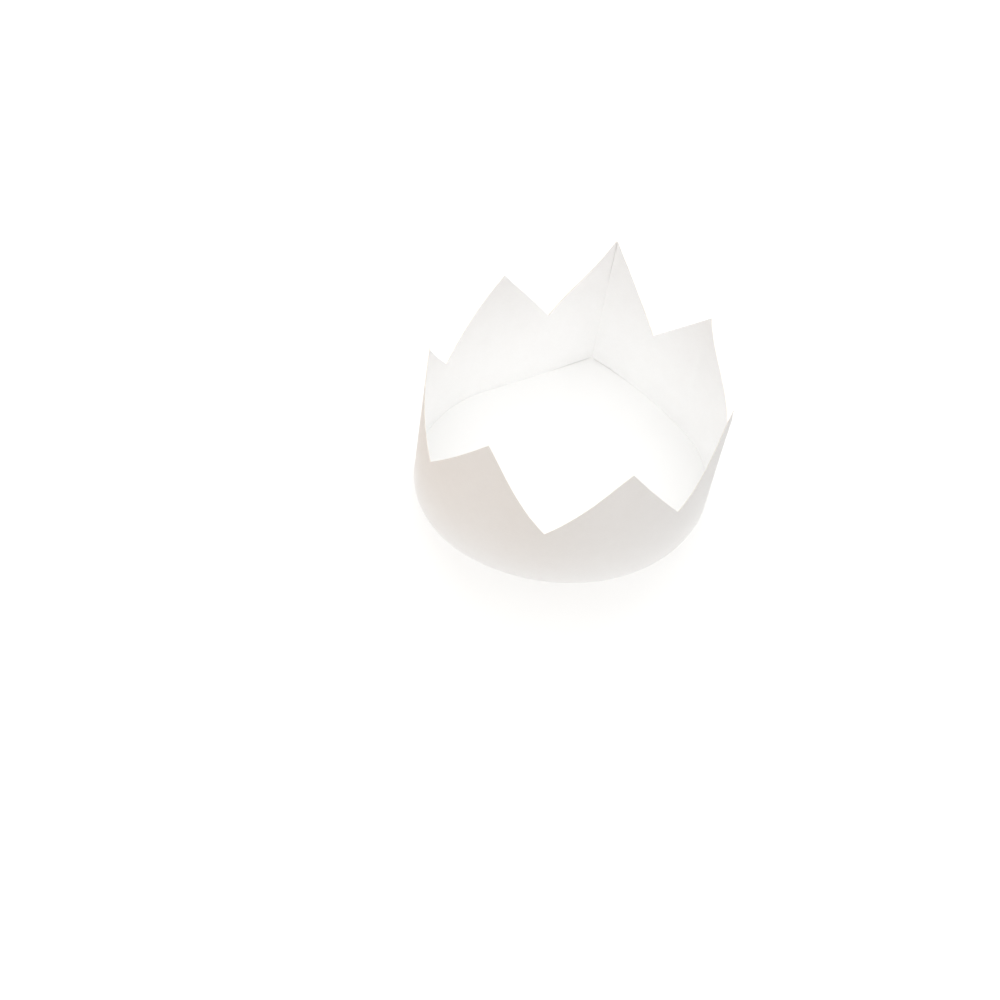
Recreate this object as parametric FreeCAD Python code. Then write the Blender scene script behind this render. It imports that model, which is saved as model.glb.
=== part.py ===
# Paper crown: one strip of white card with zigzag teeth, bent to a ring and hooked
# into itself through two half-height slits. Millimetres, +Z up, teeth upwards.
# The origin is the bottom centre of the crown's box, with the slit joint at the back, +Y.
import FreeCAD, Part
import math
import os
from collections import namedtuple
from FreeCAD import Placement, Rotation, Vector

Vector2d = FreeCAD.Base.Vector2d
up = Vector(0, 0, 1)

doc = FreeCAD.newDocument("paper_crown")

# Driving sizes
sheet = doc.addObject("Spreadsheet::Sheet", "sizes")
drivingSizes = [
    ("toothCount", 8, "teeth cut along the flat strip"),
    ("toothPitch", 75, "tip to tip along the strip"),
    ("tipHeight", 100, "base edge to tip"),
    ("valleyHeight", 50, "base edge to the bottom of a notch"),
    ("cardThickness", 0.3, "card of about 230 grams a square metre"),
    ("slitMeeting", 50, "height at which the tip slit and the base slit both end"),
    ("slitClearance", 0.1, "room beside the card that passes through a slit"),
    ("foldInnerRadius", 0.35, "inside radius where an end flap turns back along the wall"),
    ("rightRearAngle", 66.8, "degrees that the wall turns over its second seventh, and so on"),
    ("rightFrontAngle", 46.2, "clockwise from the joint, as seen from above"),
    ("frontAngle", 43, "the fourth seventh, opposite the joint"),
    ("leftFrontAngle", 65.2, "the fifth"),
    ("leftRearAngle", 59.3, "the sixth; the first and the last turn by what closes the ring"),
]
for row, (alias, value, note) in enumerate(drivingSizes, start=1):
    sheet.set("A%d" % row, alias)
    sheet.set("B%d" % row, str(value))
    sheet.set("C%d" % row, note)
    sheet.setAlias("B%d" % row, alias)
doc.recompute()

toothPitch = float(sheet.toothPitch)
toothCount = int(sheet.toothCount)
tipHeight = float(sheet.tipHeight)
valleyHeight = float(sheet.valleyHeight)
cardThickness = float(sheet.cardThickness)
slitMeeting = float(sheet.slitMeeting)
slitClearance = float(sheet.slitClearance)
foldRadius = float(sheet.foldInnerRadius) + cardThickness / 2
middleAngles = [
    float(sheet.rightRearAngle),
    float(sheet.rightFrontAngle),
    float(sheet.frontAngle),
    float(sheet.leftFrontAngle),
    float(sheet.leftRearAngle),
]

# The slits lie on the centre lines of the first and last tooth, and the ring between them
stripLength = toothCount * toothPitch
tipSlit = toothPitch / 2
baseSlit = stripLength - toothPitch / 2
arcsBesideJoint = 2
wallArcLength = (baseSlit - tipSlit) / (len(middleAngles) + arcsBesideJoint)
tolerance = 1e-6


class Stretch:
    """A straight or evenly bent length of the strip, seen from above.

    It starts at a point with a heading and turns clockwise by bend over its length.
    """

    def __init__(self, start, heading, length, bend):
        self.start = start
        self.heading = heading
        self.length = length
        self.bend = bend
        self.isStraight = abs(bend) < tolerance
        if not self.isStraight:
            self.radius = length / bend
            self.centre = start - self.outward(0) * self.radius

    def headingAt(self, along):
        return self.heading - self.bend * along / self.length

    def outward(self, along):
        heading = self.headingAt(along)
        return Vector(-math.sin(heading), math.cos(heading), 0)

    def point(self, along):
        if self.isStraight:
            return self.start + Vector(math.cos(self.heading), math.sin(self.heading), 0) * along
        return self.centre + self.outward(along) * self.radius

    def surface(self, offset):
        """The face of the card at an offset outwards from its middle, with the function
        that turns a length along the stretch into the surface's own u value."""
        if self.isStraight:
            corner = self.start + self.outward(0) * offset
            ahead = self.point(self.length) - self.start
            return Part.Plane(corner, corner + ahead, corner + up), lambda along: along
        radius = self.radius + offset
        side = math.copysign(math.pi / 2, radius)
        middle = self.headingAt(self.length / 2) + side
        cylinder = Part.Cylinder()
        cylinder.Radius = abs(radius)
        cylinder.rotate(Placement(Vector(), Rotation(up, math.degrees(middle - math.pi))))
        cylinder.Center = self.centre
        return cylinder, lambda along: self.headingAt(along) + side - middle + math.pi


def follow(start, heading, turns):
    """The stretches of a path made of (length, bend) pairs."""
    stretches = []
    for length, bend in turns:
        stretch = Stretch(start, heading, length, bend)
        stretches.append(stretch)
        start = stretch.point(length)
        heading = stretch.headingAt(length)
    return stretches


def wallTurns(endBends):
    """The ring wall as equal arcs, of which the two beside the joint get the given bends."""
    middleBends = [math.radians(angle) for angle in middleAngles]
    return [(wallArcLength, bend) for bend in [endBends[0]] + middleBends + [endBends[1]]]


def closingGap(endBends):
    """How far the wall's end misses its start."""
    last = follow(Vector(), 0, wallTurns(endBends))[-1]
    return last.point(last.length)


def closeRing():
    """The bends of the two arcs beside the joint that bring the wall back to its start."""
    firstGuess = math.radians(10)
    ends = [firstGuess, firstGuess]
    step = 1e-6
    rounds = 20
    for _ in range(rounds):
        gap = closingGap(ends)
        first = (closingGap([ends[0] + step, ends[1]]) - gap) / step
        second = (closingGap([ends[0], ends[1] + step]) - gap) / step
        determinant = first.x * second.y - first.y * second.x
        ends[0] -= (gap.x * second.y - gap.y * second.x) / determinant
        ends[1] -= (first.x * gap.y - first.y * gap.x) / determinant
    return ends


ringTurns = wallTurns(closeRing())
# The angle at which the strip's two ends cross at the joint
crossing = 2 * math.pi - sum(bend for _, bend in ringTurns)
# Half the width of a slit that lets card through at that angle
slitHalf = cardThickness / 2 * (1 + math.cos(crossing)) / math.sin(crossing) + slitClearance


def flapTurns(wall):
    """An end flap from the joint outwards: straight through the slit, folded back and
    then along the outside of the wall, whose (length, bend) pairs start at the joint."""
    standOff = slitHalf * math.sin(crossing) + foldRadius * (1 - math.cos(crossing))
    turns = [(slitHalf, 0), (foldRadius * crossing, crossing)]
    left = tipSlit - sum(length for length, _ in turns)
    for length, bend in wall:
        outerLength = length + bend * standOff
        used = min(left, outerLength)
        turns.append((used, bend * used / outerLength))
        left -= used
        if left < tolerance:
            break
    return turns


def stripPath():
    """The whole strip from above, from the end of one flap to the end of the other.
    The joint, where the wall starts and ends, is at the origin and points to +Y."""
    firstFlap = flapTurns(ringTurns[::-1])
    lastFlap = flapTurns(ringTurns)
    # The first flap is walked outwards from the joint to find where the strip starts
    mirrored = [(length, -bend) for length, bend in firstFlap]
    flapEnd = follow(Vector(), math.pi - crossing / 2, mirrored)[-1]
    start = flapEnd.point(flapEnd.length)
    heading = flapEnd.headingAt(flapEnd.length) - math.pi
    return follow(start, heading, firstFlap[::-1] + ringTurns + lastFlap)


def topHeight(along):
    """The zigzag: a valley at both ends of each tooth and its tip in the middle."""
    fromTip = abs(along % toothPitch - toothPitch / 2)
    return tipHeight - (tipHeight - valleyHeight) * fromTip / (toothPitch / 2)


# A piece of the strip within one stretch, with its (low, high) heights at both sides
Cell = namedtuple("Cell", "stretch begin end left right")


def stripCells(path):
    """The strip cut up wherever its bend or its flat outline changes."""
    slitSides = [slit + side for slit in (tipSlit, baseSlit) for side in (-slitHalf, slitHalf)]
    corners = [half * toothPitch / 2 for half in range(2 * toothCount + 1)]
    cells = []
    passed = 0
    for stretch in path:
        ahead = passed + stretch.length
        inside = [
            place
            for place in sorted(corners + slitSides)
            if passed + tolerance < place < ahead - tolerance
        ]
        stations = [passed] + inside + [ahead]
        for begin, end in zip(stations, stations[1:]):
            middle = (begin + end) / 2
            low = slitMeeting if abs(middle - baseSlit) < slitHalf else 0
            inTipSlit = abs(middle - tipSlit) < slitHalf
            left, right = [
                (low, slitMeeting if inTipSlit else topHeight(side)) for side in (begin, end)
            ]
            cells.append(Cell(stretch, begin - passed, end - passed, left, right))
        passed = ahead
    return cells


def sideHeights(own, neighbour):
    """The heights along one side of a cell, with those at which its neighbour stops."""
    between = [height for height in neighbour if own[0] + tolerance < height < own[1] - tolerance]
    return [own[0]] + between + [own[1]]


def bareParts(heights, neighbour):
    """For each part of a cell's side, whether the neighbour leaves it uncovered."""
    middles = [(low + high) / 2 for low, high in zip(heights, heights[1:])]
    return [not neighbour[0] < middle < neighbour[1] for middle in middles]


def cutFace(inner, outer):
    """The cut edge of the card between its inner and outer face: a plane where it is
    level or upright, and ruled where it slants round a bend."""
    a, b = inner.Vertexes[0].Point, inner.Vertexes[1].Point
    isLevel = abs(a.z - b.z) < tolerance
    isUpright = math.hypot(a.x - b.x, a.y - b.y) < tolerance
    if not (isLevel or isUpright):
        return Part.makeRuledSurface(inner, outer)
    across = [Part.makeLine(inner.Vertexes[i].Point, outer.Vertexes[i].Point) for i in (0, 1)]
    return Part.Face(Part.Wire([inner, across[1], outer, across[0]]))


def cellFaces(cell, before, after):
    """A cell's inner and outer face and its bare cut edges. Before and after are the
    heights of its neighbours, which cover some or all of its two sides."""
    leftHeights = sideHeights(cell.left, before)
    rightHeights = sideHeights(cell.right, after)
    faces = []
    outlines = []
    for offset in (-cardThickness / 2, cardThickness / 2):
        surface, uAt = cell.stretch.surface(offset)
        corners = [Vector2d(uAt(cell.end), height) for height in rightHeights]
        corners += [Vector2d(uAt(cell.begin), height) for height in reversed(leftHeights)]
        outline = [
            Part.Geom2d.Line2dSegment(a, b).toShape(surface)
            for a, b in zip(corners, corners[1:] + corners[:1])
        ]
        faces.append(Part.Face(surface, Part.Wire(outline)))
        outlines.append(outline)
    # In the outline's order: up the right side, the top, down the left side, the bottom
    bare = bareParts(rightHeights, after) + [True] + bareParts(leftHeights, before)[::-1] + [True]
    faces += [cutFace(inner, outer) for inner, outer, isBare in zip(*outlines, bare) if isBare]
    return faces


def cardSolid(cells):
    noCard = (0, 0)
    befores = [noCard] + [cell.right for cell in cells[:-1]]
    afters = [cell.left for cell in cells[1:]] + [noCard]
    faces = []
    for cell, before, after in zip(cells, befores, afters):
        faces += cellFaces(cell, before, after)
    shell = Part.makeShell(faces)
    shell.sewShape()
    solid = Part.makeSolid(shell).removeSplitter()
    if solid.Volume < 0:
        solid.reverse()
    return solid


band = doc.addObject("Part::Feature", "crown_band")
band.Label = "crown_band"
band.Shape = cardSolid(stripCells(stripPath()))
box = band.Shape.optimalBoundingBox(False)
band.Placement = Placement(Vector(-box.Center.x, -box.Center.y, 0), Rotation())
doc.recompute()

for item in doc.Objects:
    if "Invalid" in item.State or "Error" in item.State:
        raise RuntimeError("failed object: " + item.Name)
subParts = [band]
for part in subParts:
    if part.Shape.isNull() or not part.Shape.isValid():
        raise RuntimeError("bad shape: " + part.Label)

os.makedirs("parts", exist_ok=True)
for part in subParts:
    part.Shape.exportStep("parts/%s.step" % part.Label)
    size = part.Shape.BoundBox
    print(part.Label, "solids", len(part.Shape.Solids), "volume", round(part.Shape.Volume, 2))
    print("box", round(size.XLength, 2), round(size.YLength, 2), round(size.ZLength, 2))
print("the ends cross at", round(math.degrees(crossing), 2), "degrees")
print("slits", round(2 * slitHalf, 3), "wide")
print("joint at", round(-box.Center.x, 3), round(-box.Center.y, 3))
print("arcs beside the joint turn", [round(math.degrees(ringTurns[i][1]), 2) for i in (0, -1)])
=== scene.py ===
import math

import bpy
from mathutils import Matrix, Vector


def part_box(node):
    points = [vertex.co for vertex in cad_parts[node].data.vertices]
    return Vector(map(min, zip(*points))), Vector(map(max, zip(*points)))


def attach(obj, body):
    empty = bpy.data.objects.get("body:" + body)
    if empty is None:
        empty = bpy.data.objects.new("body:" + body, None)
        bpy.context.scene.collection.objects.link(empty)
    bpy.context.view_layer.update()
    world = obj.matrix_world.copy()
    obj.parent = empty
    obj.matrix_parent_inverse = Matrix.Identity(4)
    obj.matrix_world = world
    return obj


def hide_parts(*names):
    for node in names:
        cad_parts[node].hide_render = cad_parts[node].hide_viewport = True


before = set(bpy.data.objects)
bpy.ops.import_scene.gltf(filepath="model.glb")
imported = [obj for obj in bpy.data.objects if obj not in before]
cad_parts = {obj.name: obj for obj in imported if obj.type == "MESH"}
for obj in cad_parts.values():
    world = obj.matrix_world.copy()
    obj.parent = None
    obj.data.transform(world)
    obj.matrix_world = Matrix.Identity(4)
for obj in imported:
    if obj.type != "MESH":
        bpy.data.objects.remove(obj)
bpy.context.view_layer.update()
mm = 0.001
print("frame loaded")


# An sRGB hex colour as the linear values that Blender mixes
def linearColour(hexCode):
    parts = [int(hexCode[i : i + 2], 16) / 255 for i in (0, 2, 4)]
    return [c / 12.92 if c <= 0.04045 else ((c + 0.055) / 1.055) ** 2.4 for c in parts] + [1]


# Adds a node, gives it its settings, and fills or links its inputs
def addNode(tree, kind, inputs, **settings):
    node = tree.nodes.new(kind)
    for name, value in settings.items():
        setattr(node, name, value)
    for key, value in inputs.items():
        if isinstance(value, bpy.types.NodeSocket):
            tree.links.new(value, node.inputs[key])
        else:
            node.inputs[key].default_value = value
    return node


# Carries a value from the source's low and high over to the target's, and no further
def mapRange(tree, value, source, target, **settings):
    inputs = {"Value": value, "From Min": source[0], "From Max": source[1]}
    inputs.update({"To Min": target[0], "To Max": target[1]})
    return addNode(tree, "ShaderNodeMapRange", inputs, **settings).outputs[0]


def mixColour(tree, share, first, second):
    inputs = {"Factor": share, "A": first, "B": second}
    return addNode(tree, "ShaderNodeMix", inputs, data_type="RGBA").outputs["Result"]


def smooth(share):
    share = min(max(share, 0), 1)
    return share * share * (3 - 2 * share)


# Camera
cameraPlan = {
    "place": (-72.77, -493.97, 624.28),
    "right": (0.99196, 0.06569, 0.10816),
    "up": (-0.11693, 0.80262, 0.58492),
    "back": (-0.04839, -0.59286, 0.80384),
    "lens": 48.63,
    "sensor": 36,
    "nearest": 10,
}
cameraData = bpy.data.cameras.new("photoCamera")
cameraData.lens = cameraPlan["lens"]
cameraData.sensor_width = cameraPlan["sensor"]
cameraData.clip_start = cameraPlan["nearest"] * mm
camera = bpy.data.objects.new("photoCamera", cameraData)
bpy.context.collection.objects.link(camera)
cameraAxes = Matrix([cameraPlan[axis] for axis in ("right", "up", "back")]).transposed()
camera.matrix_world = Matrix.Translation(Vector(cameraPlan["place"]) * mm) @ cameraAxes.to_4x4()
bpy.context.scene.camera = camera
print("camera set")

# Uncoated wood-free card, calendered but not glossy: near white, fully matte, with the
# faint cloud of its fibres. Fibres are 0.03 wide, so they are drawn as flecks 1 wide and 2 long.
cardLook = {
    "face": "fbfaf9",
    "fleck": "f2f1f0",
    # The cut edges take a darker, warmer tone: painted shade, which keeps their thin upward faces from
    # reading bright under the overhead light.
    "shadedCutEdge": "efe9e1",
    "roughness": 0.9,
    "fleckLength": 2.2,
    "fleckWidth": 1.0,
    "fleckDetail": 3,
    "fleckRoughness": 0.6,
    "cloudSize": 9,
    "cloudDetail": 2,
    "cloudShare": 0.35,
    "bumpHeight": 0.02,
    "freePath": 0.05,
}


def makeCard(name, faceColour, fleckColour):
    card = bpy.data.materials.new(name)
    card.use_nodes = True
    tree = card.node_tree
    shader = tree.nodes["Principled BSDF"]
    flat = addNode(tree, "ShaderNodeUVMap", {}, uv_map="blank").outputs[0]
    along = addNode(
        tree, "ShaderNodeMapping",
        {"Vector": flat, "Scale": (cardLook["fleckWidth"] / cardLook["fleckLength"], 1, 1)},
    ).outputs[0]
    fleck = addNode(
        tree, "ShaderNodeTexNoise",
        {"Vector": along, "Scale": 1 / (cardLook["fleckWidth"] * mm),
         "Detail": cardLook["fleckDetail"], "Roughness": cardLook["fleckRoughness"]},
    ).outputs[0]
    cloud = addNode(
        tree, "ShaderNodeTexNoise",
        {"Vector": flat, "Scale": 1 / (cardLook["cloudSize"] * mm), "Detail": cardLook["cloudDetail"]},
    ).outputs[0]
    fibre = addNode(
        tree, "ShaderNodeMix", {"Factor": cardLook["cloudShare"], "A": fleck, "B": cloud}
    ).outputs[0]
    tone = mixColour(tree, fibre, linearColour(faceColour), linearColour(fleckColour))
    bump = addNode(
        tree, "ShaderNodeBump",
        {"Height": fleck, "Strength": 1.0, "Distance": cardLook["bumpHeight"] * mm},
    )
    tree.links.new(tone, shader.inputs["Base Color"])
    tree.links.new(bump.outputs[0], shader.inputs["Normal"])
    shader.inputs["Roughness"].default_value = cardLook["roughness"]
    shader.inputs["Subsurface Weight"].default_value = 1
    shader.inputs["Subsurface Radius"].default_value = (1, 1, 1)
    shader.inputs["Subsurface Scale"].default_value = cardLook["freePath"] * mm
    return card


uncoatedCard = makeCard("uncoatedCard", cardLook["face"], cardLook["fleck"])
# The cut-edge card carries the painted shade of the cut edges.
shadedCutCard = makeCard("shadedCutCardEdge", cardLook["shadedCutEdge"], cardLook["shadedCutEdge"])
print("card materials made")

# Crown band. Leans are how far the wall stands outward at a tip or a notch, from the
# first one clockwise of the joint; the joint's own is to the right and to the back.
# A hollow is how far the card bows inward over half a tooth; they count from the joint as 0.
band = {
    "toothCount": 8,
    "toothPitch": 75,
    "tipHeight": 100,
    "valleyHeight": 50,
    "thickness": 0.3,
    "slitMeeting": 50,
    "slitClearance": 0.005,
    "foldInnerRadius": 0.35,
    "middleBends": (66.8, 46.2, 43, 65.2, 59.3),
    "bendBlend": 14,
    "valleyLeans": (-1.5, 0.5, 1.5, 4, 0.5, -1.5, 2.5),
    "tipLeans": (-6.3, -3.5, 1.7, -0.5, -2, -2),
    "hollows": {2: 3, 3: 2, 4: 0.8},
    "jointLean": (-1.8, -2.2),
    "jointReach": 30,
    "slitMouth": 0.5,
    "mouthDepth": 36,
    "mouthReach": 6,
    "cornerLift": 0.8,
    "cornerReach": 35,
    "flapDrop": 3,
    "columnStep": 1.5,
    "columnGap": 0.4,
    "foldColumns": 6,
    "rows": 20,
    "sharpAngle": 35,
}
halfTooth = band["toothPitch"] / 2
stripLength = band["toothCount"] * band["toothPitch"]
tipSlit = halfTooth
baseSlit = stripLength - halfTooth
arcsBesideJoint = 2
arcCount = len(band["middleBends"]) + arcsBesideJoint
arcLength = (baseSlit - tipSlit) / arcCount
walkStep = 0.5
tiny = 1e-6


def direction(heading):
    return Vector((math.cos(heading), math.sin(heading), 0))


def outwardOf(heading):
    return Vector((-math.sin(heading), math.cos(heading), 0))


# The bend a millimetre at a place on the wall: each seventh has its own, and they blend
def bendAt(bends, place):
    border = round(place / arcLength)
    if not 0 < border < len(bends):
        return bends[min(int(place / arcLength), len(bends) - 1)] / arcLength
    share = smooth(((place - border * arcLength) / band["bendBlend"] + 1) / 2)
    return (bends[border - 1] * (1 - share) + bends[border] * share) / arcLength


# Points and headings every half millimetre along the wall, clockwise from the joint
def walkWall(endBends):
    bends = [endBends[0]] + [math.radians(bend) for bend in band["middleBends"]] + [endBends[1]]
    count = round(arcCount * arcLength / walkStep)
    rates = [bendAt(bends, (i + 0.5) * walkStep) for i in range(count)]
    crossing = 2 * math.pi - sum(rates) * walkStep
    point = Vector((0, 0, 0))
    heading = -crossing / 2
    walk = [(point, heading)]
    for rate in rates:
        point = point + direction(heading - rate * walkStep / 2) * walkStep
        heading -= rate * walkStep
        walk.append((point, heading))
    return walk, crossing


# The two bends beside the joint are those that bring the wall back to its start
def closeWall():
    firstGuess = math.radians(10)
    ends = [firstGuess, firstGuess]
    nudge = 1e-5
    rounds = 12
    for _ in range(rounds):
        gap = walkWall(ends)[0][-1][0]
        first = (walkWall([ends[0] + nudge, ends[1]])[0][-1][0] - gap) / nudge
        second = (walkWall([ends[0], ends[1] + nudge])[0][-1][0] - gap) / nudge
        determinant = first.x * second.y - first.y * second.x
        ends[0] -= (gap.x * second.y - gap.y * second.x) / determinant
        ends[1] -= (first.x * gap.y - first.y * gap.x) / determinant
    return walkWall(ends)


wall, crossing = closeWall()
slitHalf = band["thickness"] / 2 / math.sin(crossing) + band["slitClearance"]
foldRadius = band["foldInnerRadius"] + band["thickness"] / 2
foldEnd = slitHalf + foldRadius * crossing
standOff = slitHalf * math.sin(crossing) + foldRadius * (1 - math.cos(crossing))


def wallPlace(place):
    index = min(int(place / walkStep), len(wall) - 2)
    share = place / walkStep - index
    (a, headingA), (b, headingB) = wall[index], wall[index + 1]
    return a.lerp(b, share), headingA + (headingB - headingA) * share


# An end flap goes straight through the slit, folds back and follows the wall outside
def flapPlace(out, isLast):
    side = -1 if isLast else 1
    walk = crossing / 2 if isLast else math.pi - crossing / 2
    turned = min(max(out - slitHalf, 0) / foldRadius, crossing) * side
    point = direction(walk) * min(out, slitHalf)
    point += (outwardOf(walk) - outwardOf(walk + turned)) * foldRadius * side
    heading = walk + turned + (0 if isLast else math.pi)
    if out > foldEnd:
        reach = slitHalf * math.cos(crossing) + foldRadius * math.sin(crossing) + out - foldEnd
        point, heading = wallPlace(reach if isLast else baseSlit - tipSlit - reach)
        point = point + outwardOf(heading) * standOff
    return point, heading


# The way through the card. The sides of a slit slant, to lie flat on the wall in it.
def throughCardAt(along, heading):
    isSlitSide = [abs(abs(along - slit) - slitHalf) < tiny for slit in (tipSlit, baseSlit)]
    slant = (isSlitSide[0] - isSlitSide[1]) / math.tan(crossing)
    return outwardOf(heading) + direction(heading) * slant


def stripPlace(along):
    if along < tipSlit:
        return flapPlace(tipSlit - along, False)
    if along > baseSlit:
        return flapPlace(along - baseSlit, True)
    return wallPlace(along - tipSlit)


# How far the card moves sideways for each millimetre of height. A flap goes with the
# wall that it lies behind.
def swayAt(along):
    if along < tipSlit:
        along += baseSlit - tipSlit
    elif along > baseSlit:
        along -= baseSlit - tipSlit
    fromStart = along - tipSlit
    jointSway = Vector((band["jointLean"][0], band["jointLean"][1], 0)) / band["tipHeight"]
    slopes = [jointSway.dot(outwardOf(wall[0][1]))]
    for valley, tip in zip(band["valleyLeans"], band["tipLeans"] + (0,)):
        slopes += [valley / band["valleyHeight"], tip / band["tipHeight"]]
    slopes[-1] = jointSway.dot(outwardOf(wall[-1][1]))
    knot = min(int(fromStart / halfTooth), len(slopes) - 2)
    part = fromStart / halfTooth - knot
    slope = slopes[knot] * (1 - smooth(part)) + slopes[knot + 1] * smooth(part)
    middleHeight = (band["valleyHeight"] + band["tipHeight"]) / 2
    slope -= band["hollows"].get(knot, 0) / middleHeight * 4 * part * (1 - part)
    fromJoint = min(fromStart, baseSlit - along)
    away = smooth((fromJoint - foldEnd) / (band["jointReach"] - foldEnd))
    return jointSway.lerp(outwardOf(wallPlace(fromStart)[1]) * slope, away)


# The way in which the tip slit's free side springs open at its mouth
def mouthAt(along, heading):
    fromSlit = along - tipSlit - slitHalf
    if fromSlit < -tiny:
        return Vector((0, 0, 0))
    return direction(heading) * max(0, 1 - fromSlit / band["mouthReach"])


# Where the columns of the mesh stand: an even step, the sides of the slits and the folds
def columnPlaces():
    foldStep = foldRadius * crossing / band["foldColumns"]
    close = [slitHalf + foldStep * i for i in range(band["foldColumns"] + 1)]
    fixed = [tipSlit + slitHalf, baseSlit - slitHalf]
    fixed += [tipSlit - out for out in close] + [baseSlit + out for out in close]
    steps = round(stripLength / band["columnStep"])
    even = [i * band["columnStep"] for i in range(steps + 1)]
    kept = [
        place
        for place in even
        if place % halfTooth < tiny or min(abs(place - other) for other in fixed) > band["columnGap"]
    ]
    return sorted(kept + fixed)


places = columnPlaces()
stations = [stripPlace(place) for place in places]
cadLow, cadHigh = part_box("crown_band")
cadMiddle = (cadLow + cadHigh) / 2 / mm
xs = [point.x for point, _ in wall]
ys = [point.y for point, _ in wall]
wallMiddle = Vector((min(xs) + max(xs), min(ys) + max(ys), 0)) / 2
shift = Vector((cadMiddle.x, cadMiddle.y, 0)) - wallMiddle
print("joint at", round(shift.x, 2), round(shift.y, 2), "crossing", round(math.degrees(crossing), 1))

pathMesh = bpy.data.meshes.new("bandPath")
pathMesh.from_pydata(
    [(point + shift) * mm for point, _ in stations],
    [(i, i + 1) for i in range(len(stations) - 1)],
    [],
)
alongValues = pathMesh.attributes.new("along", "FLOAT", "POINT")
alongValues.data.foreach_set("value", [place * mm for place in places])
headings = [heading for _, heading in stations]
columnVectors = {
    "throughCard": [throughCardAt(place, heading) for place, heading in zip(places, headings)],
    "sway": [swayAt(place) for place in places],
    "mouth": [mouthAt(place, heading) for place, heading in zip(places, headings)],
}
for name, vectors in columnVectors.items():
    values = pathMesh.attributes.new(name, "FLOAT_VECTOR", "POINT")
    values.data.foreach_set("vector", [c for vector in vectors for c in vector])
bandPath = bpy.data.objects.new("bandPath", pathMesh)
bpy.context.collection.objects.link(bandPath)

# The band's tree: columns up the path, zigzag top, slits, thickness, then the bend
bandTree = bpy.data.node_groups.new("crownBand", "GeometryNodeTree")
bandInputs = {
    "Half Tooth": halfTooth * mm,
    "Tip Height": band["tipHeight"] * mm,
    "Valley Height": band["valleyHeight"] * mm,
    "Thickness": band["thickness"] * mm,
    "Slit Meeting": band["slitMeeting"] * mm,
    "Slit Half Width": slitHalf * mm,
    "Tip Slit": tipSlit * mm,
    "Base Slit": baseSlit * mm,
    "Slit Mouth": band["slitMouth"] * mm,
    "Mouth Depth": band["mouthDepth"] * mm,
    "Corner Lift": band["cornerLift"] * mm,
    "Corner Reach": band["cornerReach"] * mm,
    "Flap Drop": band["flapDrop"] * mm,
}
bandTree.interface.new_socket("Path", in_out="INPUT", socket_type="NodeSocketGeometry")
for name in bandInputs:
    bandTree.interface.new_socket(name, in_out="INPUT", socket_type="NodeSocketFloat")
bandTree.interface.new_socket("Rows", in_out="INPUT", socket_type="NodeSocketInt")
bandTree.interface.new_socket("Band", in_out="OUTPUT", socket_type="NodeSocketGeometry")
given = addNode(bandTree, "NodeGroupInput", {}).outputs
mergeReach = 1e-6


# The band's tree works out its numbers and vectors with these three
def number(operation, *values):
    inputs = dict(enumerate(values))
    return addNode(bandTree, "ShaderNodeMath", inputs, operation=operation).outputs[0]


def scaled(vector, scale):
    inputs = {0: vector, "Scale": scale}
    return addNode(bandTree, "ShaderNodeVectorMath", inputs, operation="SCALE").outputs[0]


def added(first, second):
    inputs = {0: first, 1: second}
    return addNode(bandTree, "ShaderNodeVectorMath", inputs, operation="ADD").outputs[0]


# Keeps a value on the points of a shape, to be read once the shape has changed
def keptOn(shape, kind, name, value):
    keep = addNode(bandTree, "GeometryNodeCaptureAttribute", {"Geometry": shape}, domain="POINT")
    keep.capture_items.new(kind, name)
    bandTree.links.new(value, keep.inputs[name])
    return keep.outputs


place = addNode(bandTree, "GeometryNodeInputPosition", {}).outputs[0]
keptPath = keptOn(given["Path"], "VECTOR", "Place", place)
line = addNode(bandTree, "GeometryNodeCurvePrimitiveLine", {"End": (0, 0, 1)}).outputs[0]
rowCount = number("ADD", given["Rows"], 1.0)
rowLine = addNode(
    bandTree, "GeometryNodeResampleCurve", {"Curve": line, "Count": rowCount}
).outputs[0]
factor = addNode(bandTree, "GeometryNodeSplineParameter", {}).outputs["Factor"]
keptRows = keptOn(rowLine, "FLOAT", "Share", factor)
share = keptRows["Share"]
pathCurve = addNode(bandTree, "GeometryNodeMeshToCurve", {"Mesh": keptPath["Geometry"]}).outputs[0]
columns = addNode(
    bandTree, "GeometryNodeCurveToMesh",
    {"Curve": pathCurve, "Profile Curve": keptRows["Geometry"]},
).outputs[0]
columnKinds = {"along": "FLOAT", **{name: "FLOAT_VECTOR" for name in columnVectors}}
named = {
    name: addNode(
        bandTree, "GeometryNodeInputNamedAttribute", {"Name": name}, data_type=kind
    ).outputs[0]
    for name, kind in columnKinds.items()
}
fromValley = number("PINGPONG", named["along"], given["Half Tooth"])
top = mapRange(
    bandTree, fromValley, (0.0, given["Half Tooth"]), (given["Valley Height"], given["Tip Height"])
)
upper = mapRange(bandTree, share, (0.5, 1.0), (given["Valley Height"], top))
missing = mapRange(bandTree, share, (0.0, 0.5), (given["Valley Height"], 0.0))
height = number("SUBTRACT", upper, missing)
flatPlace = addNode(bandTree, "ShaderNodeCombineXYZ", {"X": named["along"], "Z": height}).outputs[0]
flatSheet = addNode(
    bandTree, "GeometryNodeSetPosition", {"Geometry": columns, "Position": flatPlace}
).outputs[0]

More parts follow.
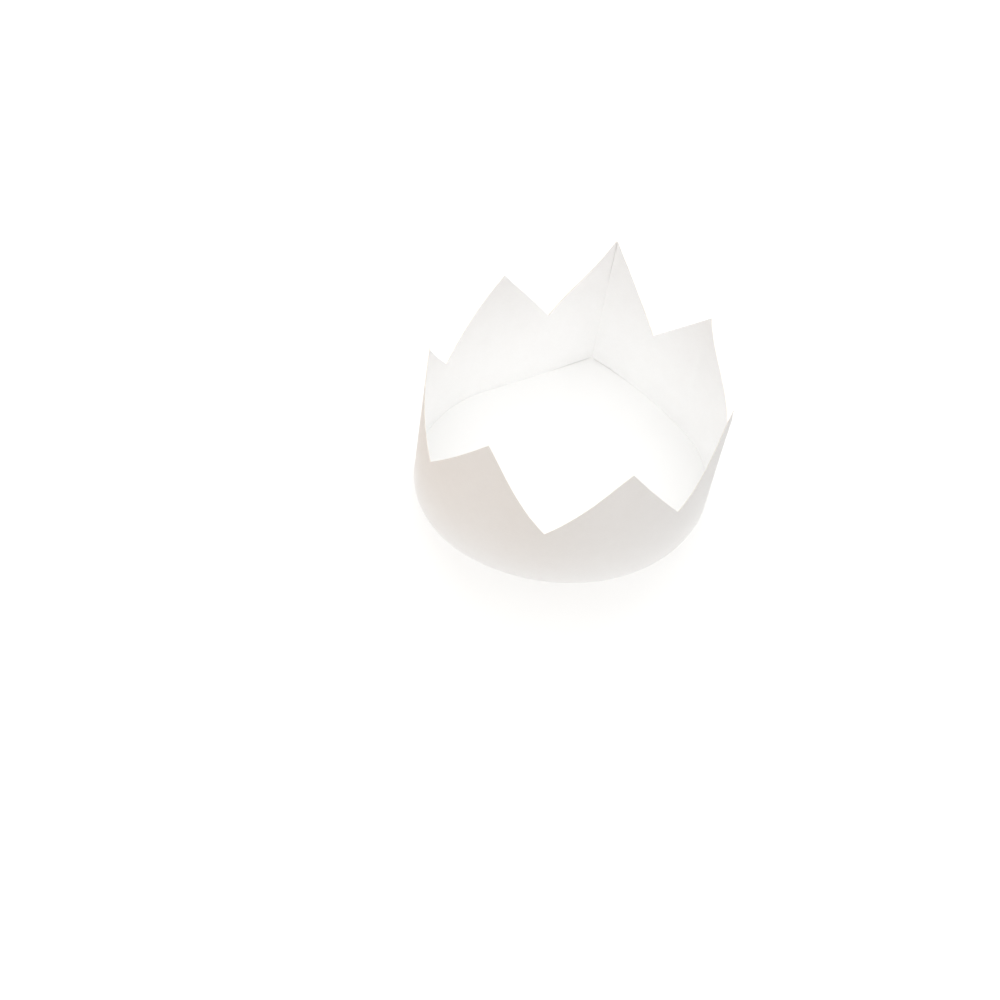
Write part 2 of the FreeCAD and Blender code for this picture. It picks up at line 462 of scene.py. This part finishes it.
# The slits, where the faces between two columns are taken out
apart = addNode(bandTree, "ShaderNodeSeparateXYZ", {0: place}).outputs
atTipSlit = number("COMPARE", apart["X"], given["Tip Slit"], given["Slit Half Width"])
atBaseSlit = number("COMPARE", apart["X"], given["Base Slit"], given["Slit Half Width"])
overMeeting = number("GREATER_THAN", apart["Z"], given["Slit Meeting"])
underMeeting = number("LESS_THAN", apart["Z"], given["Slit Meeting"])
tipCut = number("MULTIPLY", atTipSlit, overMeeting)
baseCut = number("MULTIPLY", atBaseSlit, underMeeting)
slits = number("MAXIMUM", tipCut, baseCut)
cutSheet = addNode(
    bandTree, "GeometryNodeDeleteGeometry", {"Geometry": flatSheet, "Selection": slits}, domain="FACE"
).outputs[0]
mergedSheet = addNode(
    bandTree, "GeometryNodeMergeByDistance", {"Geometry": cutSheet, "Distance": mergeReach}
).outputs[0]

# The thickness: one face of the card, the other face turned round, and the cut edge
thick = addNode(
    bandTree, "GeometryNodeExtrudeMesh",
    {"Mesh": mergedSheet, "Offset": (0, 1, 0), "Offset Scale": given["Thickness"],
     "Individual": False},
    mode="FACES",
)
edgeMark = addNode(
    bandTree, "GeometryNodeStoreNamedAttribute",
    {"Geometry": thick.outputs["Mesh"], "Name": "shadedCutEdge", "Value": thick.outputs["Side"]},
    data_type="BOOLEAN", domain="FACE",
).outputs[0]
otherFace = addNode(bandTree, "GeometryNodeFlipFaces", {"Mesh": mergedSheet}).outputs[0]
joined = addNode(bandTree, "GeometryNodeJoinGeometry", {})
bandTree.links.new(edgeMark, joined.inputs[0])
bandTree.links.new(otherFace, joined.inputs[0])
closed = addNode(
    bandTree, "GeometryNodeMergeByDistance", {"Geometry": joined.outputs[0], "Distance": mergeReach}
).outputs[0]
blank = addNode(bandTree, "ShaderNodeCombineXYZ", {"X": apart["X"], "Y": apart["Z"]}).outputs[0]
mapped = addNode(
    bandTree, "GeometryNodeStoreNamedAttribute",
    {"Geometry": closed, "Name": "blank", "Value": blank},
    data_type="FLOAT2", domain="CORNER",
).outputs[0]

# The bend: each point goes to its place on the path, and sways as the teeth lean
swayMove = scaled(named["sway"], apart["Z"])
halfIn = number("MULTIPLY_ADD", given["Thickness"], -0.5, apart["Y"])
throughCard = scaled(named["throughCard"], halfIn)
mouthFoot = number("SUBTRACT", given["Tip Height"], given["Mouth Depth"])
mouthWidth = mapRange(
    bandTree, apart["Z"], (mouthFoot, given["Tip Height"]), (0.0, given["Slit Mouth"])
)
mouthMove = scaled(named["mouth"], mouthWidth)
beforeTipSlit = number("SUBTRACT", given["Tip Slit"], named["along"])
pastBaseSlit = number("SUBTRACT", named["along"], given["Base Slit"])
fromJoint = number("MINIMUM", number("ABSOLUTE", beforeTipSlit), number("ABSOLUTE", pastBaseSlit))
wallLift = mapRange(
    bandTree, fromJoint, (0.0, given["Corner Reach"]), (given["Corner Lift"], 0.0),
    interpolation_type="SMOOTHSTEP",
)
# A flap stands on the floor again just past its slit
pastSlits = number("MAXIMUM", beforeTipSlit, pastBaseSlit)
outOnFlap = number("SUBTRACT", pastSlits, given["Slit Half Width"])
lift = mapRange(bandTree, outOnFlap, (0.0, given["Flap Drop"]), (wallLift, 0.0))
raised = number("ADD", apart["Z"], lift)
rise = addNode(bandTree, "ShaderNodeCombineXYZ", {"Z": raised}).outputs[0]
offPath = swayMove
for move in (rise, mouthMove, throughCard):
    offPath = added(offPath, move)
bentPlace = added(keptPath["Place"], offPath)
bent = addNode(
    bandTree, "GeometryNodeSetPosition", {"Geometry": mapped, "Position": bentPlace}
).outputs[0]
isCut = addNode(
    bandTree, "GeometryNodeInputNamedAttribute", {"Name": "shadedCutEdge"}, data_type="BOOLEAN"
).outputs[0]
real = addNode(bandTree, "GeometryNodeRealizeInstances", {"Geometry": bent}).outputs[0]
faced = addNode(
    bandTree, "GeometryNodeSetMaterial", {"Geometry": real, "Material": uncoatedCard}
).outputs[0]
# The cut edges, marked when the thickness was made, take the card with painted shade.
edged = addNode(
    bandTree, "GeometryNodeSetMaterial",
    {"Geometry": faced, "Selection": isCut, "Material": shadedCutCard},
).outputs[0]
addNode(bandTree, "NodeGroupOutput", {"Band": edged})

bandModifier = bandPath.modifiers.new("crownBand", "NODES")
bandModifier.node_group = bandTree
bandSockets = bandTree.interface.items_tree
inputKeys = {item.name: item.identifier for item in bandSockets if item.in_out == "INPUT"}
for name, value in bandInputs.items():
    bandModifier[inputKeys[name]] = value
bandModifier[inputKeys["Rows"]] = band["rows"]

graph = bpy.context.evaluated_depsgraph_get()
bandMesh = bpy.data.meshes.new_from_object(bandPath.evaluated_get(graph))
bandPath.modifiers.remove(bandModifier)
bpy.data.objects.remove(bandPath)
bandMesh.name = "cardBand"
bandMesh.shade_smooth()
bandMesh.set_sharp_from_angle(angle=math.radians(band["sharpAngle"]))
cardBand = bpy.data.objects.new("cardBand", bandMesh)
bpy.context.collection.objects.link(cardBand)
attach(cardBand, "root")
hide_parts("crown_band")
print("crown band made,", len(bandMesh.polygons), "faces")

# Floor, world and lamps: each lamp is a soft square, aimed at the crown, with its place and
# size in metres. The camera sees a plain pale floor and a white world. What the floor throws
# back on the card falls off outside the ring, and is warmer at the left, so that the outer
# side is a little darker.
studio = {
    "floor": "f4f4f3",
    "farLeft": "bcab99",
    "farRight": "aeadab",
    "nearRadius": 90,
    "farRadius": 150,
    "sideBlend": 120,
    "floorReach": 1200,
    "floorRoughness": 1,
    "world": "fff3ec",
    "worldStrength": 0.465,
    "backdrop": "ffffff",
    "lamps": {
        "above": {"place": (0, 0, 1.5), "size": 5, "power": 75.9, "colour": "f4fbff"},
        "behind": {"place": (0, 2.2, 1.7), "size": 2.6, "power": 24.2, "colour": "fffdf8"},
        "before": {"place": (0, -2.2, 2.0), "size": 2, "power": 7.8, "colour": "ffffff"},
    },
}


# 1 for rays that show the floor or the world, themselves or in a shine, and 0 for their light
def seenShare(tree):
    lightPath = addNode(tree, "ShaderNodeLightPath", {}).outputs
    share = lightPath["Is Camera Ray"]
    for name in ("Is Glossy Ray", "Is Transmission Ray"):
        share = addNode(
            tree, "ShaderNodeMath", {0: share, 1: lightPath[name]}, operation="MAXIMUM"
        ).outputs[0]
    return share


floorMaterial = bpy.data.materials.new("paperSweep")
floorMaterial.use_nodes = True
floorTree = floorMaterial.node_tree
floorShader = floorTree.nodes["Principled BSDF"]
floorShader.inputs["Roughness"].default_value = studio["floorRoughness"]
paleFloor = linearColour(studio["floor"])
spot = addNode(floorTree, "ShaderNodeTexCoord", {}).outputs["Object"]
spotX = addNode(floorTree, "ShaderNodeSeparateXYZ", {0: spot}).outputs["X"]
fromMiddle = addNode(floorTree, "ShaderNodeVectorMath", {0: spot}, operation="LENGTH").outputs["Value"]
beyond = mapRange(
    floorTree, fromMiddle, (studio["nearRadius"] * mm, studio["farRadius"] * mm), (0.0, 1.0)
)
blendReach = studio["sideBlend"] * mm
toRight = mapRange(floorTree, spotX, (-blendReach, blendReach), (0.0, 1.0))
farFloor = mixColour(
    floorTree, toRight, linearColour(studio["farLeft"]), linearColour(studio["farRight"])
)
thrownBack = mixColour(floorTree, beyond, paleFloor, farFloor)
floorTone = mixColour(floorTree, seenShare(floorTree), thrownBack, paleFloor)
floorTree.links.new(floorTone, floorShader.inputs["Base Color"])
floorMesh = bpy.data.meshes.new("floor")
reach = studio["floorReach"] * mm
floorCorners = [(-reach, -reach, 0), (reach, -reach, 0), (reach, reach, 0), (-reach, reach, 0)]
floorMesh.from_pydata(floorCorners, [], [(0, 1, 2, 3)])
floorMesh.materials.append(floorMaterial)
floor = bpy.data.objects.new("floor", floorMesh)
bpy.context.collection.objects.link(floor)

world = bpy.data.worlds.new("studio")
bpy.context.scene.world = world
world.use_nodes = True
worldTree = world.node_tree
worldShader = worldTree.nodes["Background"]
worldSeen = seenShare(worldTree)
worldTone = mixColour(
    worldTree, worldSeen, linearColour(studio["world"]), linearColour(studio["backdrop"])
)
worldPower = addNode(
    worldTree, "ShaderNodeMix", {"Factor": worldSeen, "A": studio["worldStrength"], "B": 1.0}
).outputs["Result"]
worldTree.links.new(worldTone, worldShader.inputs["Color"])
worldTree.links.new(worldPower, worldShader.inputs["Strength"])

for name, plan in studio["lamps"].items():
    lampData = bpy.data.lights.new(name, "AREA")
    lampData.shape = "SQUARE"
    lampData.size = plan["size"]
    lampData.energy = plan["power"]
    lampData.color = linearColour(plan["colour"])[:3]
    lamp = bpy.data.objects.new(name, lampData)
    bpy.context.collection.objects.link(lamp)
    lampPlace = Vector(plan["place"])
    aimed = lampPlace.to_track_quat("Z", "Y").to_matrix().to_4x4()
    lamp.matrix_world = Matrix.Translation(lampPlace) @ aimed

bpy.context.scene.view_settings.view_transform = "Standard"
print("studio set")
